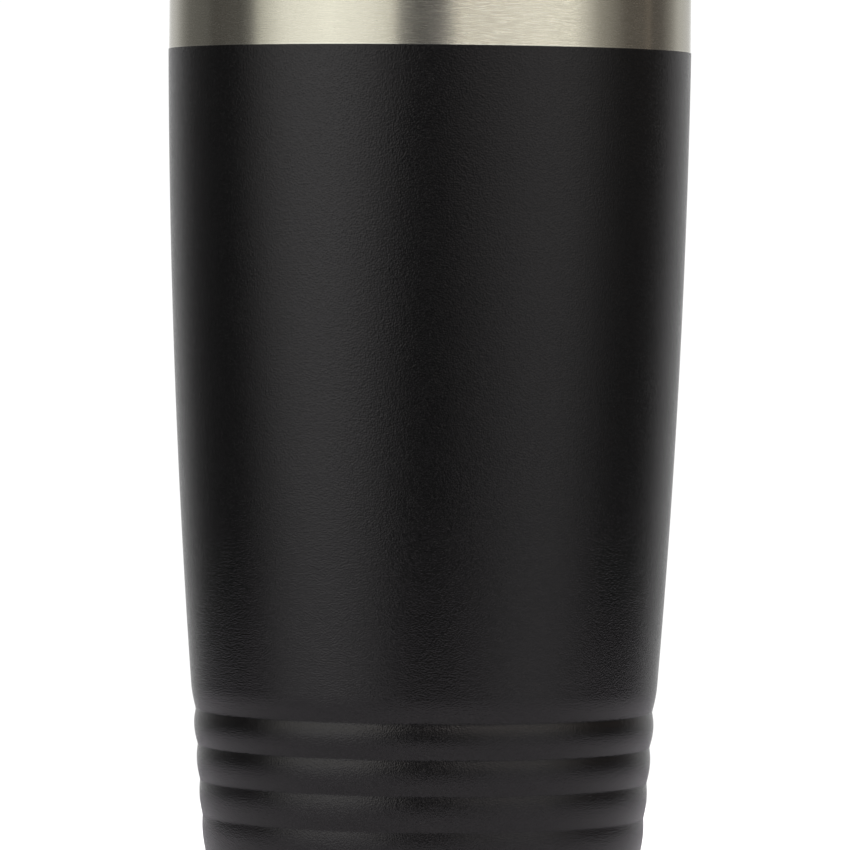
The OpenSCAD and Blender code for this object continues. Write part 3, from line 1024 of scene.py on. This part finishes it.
def add_world():
    """White to the camera. To the tumbler it is two tall softboxes, a dark gap between them, dark sides, and
    a white backdrop behind."""
    world = bpy.data.worlds.new("studio")
    bpy.context.scene.world = world
    tree = new_tree(world)
    way = add(tree, "SeparateXYZ", Vector=add(tree, "TexCoord").outputs["Generated"])
    behind = math_node(tree, "MULTIPLY", way.outputs[1], -1.0)
    azimuth = math_node(tree, "ARCTAN2", way.outputs[0], behind)
    place = add(tree, "MapRange", Value=azimuth, _1=-math.pi, _2=math.pi).outputs[0]
    upper = ramp_round(tree, place, [(angle, colour) for angle, colour, grey in STUDIO])
    lower = ramp_round(tree, place, even_greys([(angle, grey) for angle, colour, grey in STUDIO]))
    rise = add(tree, "MapRange", Value=way.outputs[2], _1=COLOUR_RISE[0], _2=COLOUR_RISE[1]).outputs[0]
    walls = add(tree, "Mix", {"data_type": "RGBA"}, _0=rise, _6=lower, _7=upper).outputs[2]
    overhead = add(tree, "MapRange", {"interpolation_type": "SMOOTHSTEP"}, Value=way.outputs[2],
                   _1=CEILING_RISE[0], _2=CEILING_RISE[1]).outputs[0]
    dome = add(tree, "Mix", {"data_type": "RGBA"}, _0=overhead, _6=walls, _7=(*CEILING, 1)).outputs[2]
    kept = ramp_round(tree, place, even_greys(STUDIO_FOOT))
    foot = add(tree, "MapRange", Value=way.outputs[2], _1=FOOT_RISE[0], _2=FOOT_RISE[1], _3=kept, _4=1.0)
    studio = add(tree, "Background", Color=dome, Strength=foot.outputs[0])
    white = add(tree, "Background", Color=(1, 1, 1, 1), Strength=BACKGROUND_STRENGTH)
    seen = add(tree, "LightPath").outputs["Is Camera Ray"]
    both = add(tree, "MixShader", _0=seen, _1=studio.outputs[0], _2=white.outputs[0])
    add(tree, "OutputWorld", Surface=both.outputs[0])


def add_softbox(name, azimuth, reach, height, size, energy, colour):
    """A rectangular light that faces the tumbler, reach metres from its axis and height metres over the
    table. The camera doesn't see it."""
    data = bpy.data.lights.new(name, "AREA")
    data.shape = "RECTANGLE"
    data.size, data.size_y = size
    data.energy = energy
    data.color = colour
    light = bpy.data.objects.new(name, data)
    turn = math.radians(azimuth)
    light.location = (reach * math.sin(turn), -reach * math.cos(turn), height)
    light.rotation_mode = "QUATERNION"
    light.rotation_quaternion = (AIM - light.location).to_track_quat("-Z", "Y")
    light.visible_camera = False
    bpy.context.scene.collection.objects.link(light)


def add_floor():
    """A pale round table that fades into the white backdrop, its colour darkened towards its rim as painted
    shade for light that falls off there. The camera sees it brighter than the tumbler does, as in an
    overexposed picture."""
    steps = FLOOR_STEPS
    table = [(0, 0, 0)] + [(x, y, 0) for x, y in disc(0, FLOOR_BACK, FLOOR_REACH, steps)]
    floor = mesh_piece("floor", table, [(0, 1 + k, 1 + (k + 1) % steps) for k in range(steps)])
    material = bpy.data.materials.new("floor")
    tree = new_tree(material)
    place = add(tree, "TexCoord").outputs["Object"]
    out = add(tree, "VectorMath", {"operation": "LENGTH"}, _0=place).outputs["Value"]
    # Painted shade: towards the rim the table's colour darkens, as though the light fell off.
    outer = add(tree, "MapRange", {"interpolation_type": "SMOOTHSTEP"}, Value=out,
                _1=PAINTED_FALLOFF_FADE[0], _2=PAINTED_FALLOFF_FADE[1]).outputs[0]
    paper_with_painted_falloff = add(tree, "Mix", {"data_type": "RGBA"}, _0=outer, _6=PAPER, _7=PAPER_PAINTED_FALLOFF)
    matt = add(tree, "BsdfDiffuse", Color=paper_with_painted_falloff.outputs[2])
    fade = add(tree, "MapRange", {"interpolation_type": "SMOOTHSTEP"}, Value=out,
               _1=GLOW_FADE[0], _2=GLOW_FADE[1], _3=GLOW_NEAR, _4=1.0).outputs[0]
    seen = add(tree, "LightPath").outputs["Is Camera Ray"]
    glow = add(tree, "Emission", Color=(1, 1, 1, 1), Strength=math_node(tree, "MULTIPLY", seen, fade))
    both = add(tree, "AddShader", _0=matt.outputs[0], _1=glow.outputs[0])
    add(tree, "OutputMaterial", Surface=both.outputs[0])
    floor.data.materials.append(material)


# ---------------------------------------------------------------- assembly

def dress_node(node, material):
    """Gives a CAD node that stays as it is its material."""
    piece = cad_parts[node]
    if not piece.material_slots:
        piece.data.materials.append(None)
    for holder in piece.material_slots:
        holder.link = "OBJECT"
        holder.material = material


def build_all():
    """Every piece with its body, its material and the CAD node that it stands for."""
    band = surface("brushed_band", brushed_band)
    coat = surface("black_coat", black_coat)
    inner = surface("inner_steel", turned_steel((0.72, 0.71, 0.68), 0.34))
    base = surface("base_steel", turned_steel((0.66, 0.645, 0.61), 0.28))
    clear = surface("clear_lid", clear_plastic)
    black = surface("slider_black", moulded_black((0.02, 0.02, 0.021), 0.32, 0.35))
    matte = surface("cap_black", moulded_black((0.026, 0.026, 0.027), 0.5, 0.25))
    pale_rubber = surface("silicone", silicone((0.80, 0.82, 0.82), 0.6))
    grey_rubber = surface("seal_grey", silicone((0.17, 0.17, 0.175), 0.0))
    nickel = surface("magnet", plated)

    install(build_coat(), "cup", "black_coat", coat, "powder_coat")
    install(build_shell(), "cup", "brushed_band", band, "outer_shell")
    install(build_liner(), "cup", "inner_steel", inner, "inner_liner")
    install(build_base(), "cup", "base_steel", base, "outer_base")
    install(build_cover(), "cup", "base_steel", base, "base_cover")
    install(build_gasket(), "gasket", "silicone", pale_rubber, "lid_gasket")
    install(build_lid(), "lid", "clear_lid", clear, "lid_body")
    for node in LID_MAGNETS:
        install(build_disc(node + "_disc", node, MAGNET_EDGE), "lid", "magnet", nickel, node)
    for node in MAGNET_PLUGS:
        install(build_disc(node + "_disc", node, MAGNET_PLUG_EDGE), "lid", "clear_lid", clear, node)
    install(build_slider_body(), "slider", "slider_black", black, "slider_body")
    install(build_slider_cap(), "slider", "cap_black", matte, "slider_cap")
    install(build_slider_seal(), "slider", "seal_grey", grey_rubber, "slider_seal")
    for node in SLIDER_MAGNETS:
        install(build_disc(node + "_disc", node, MAGNET_EDGE), "slider", "magnet", nickel, node)
    dress_node("reflector_foil", surface("foil", foil))
    dress_node("getter_pellet", surface("getter", pressed_powder))
    dress_node("getter_clip", inner)
    dress_node("vacuum_seal", surface("solder", solder))


def set_light_paths():
    """Enough bounces for light to cross the clear lid."""
    bpy.context.scene.cycles.max_bounces = 24
    bpy.context.scene.cycles.glossy_bounces = 16
    bpy.context.scene.cycles.transmission_bounces = 16


def add_softboxes():
    """One light overhead, and one about 45 degrees up over each of the studio's two bright sides."""
    add_softbox("overhead_softbox", azimuth=180, reach=0.1, height=1.9, size=(1.5, 1.2), energy=5,
                colour=(0.97, 0.98, 1.0))
    add_softbox("left_softbox", azimuth=-48.5, reach=0.9, height=0.98, size=(1.16, 0.4), energy=3,
                colour=(1.0, 0.99, 0.94))
    add_softbox("right_softbox", azimuth=44.5, reach=0.9, height=0.98, size=(1.22, 0.4), energy=10,
                colour=(1.0, 0.97, 0.91))


bpy.context.scene.view_settings.view_transform = "Standard"
set_light_paths()
add_camera()
add_world()
add_softboxes()
add_floor()
build_all()
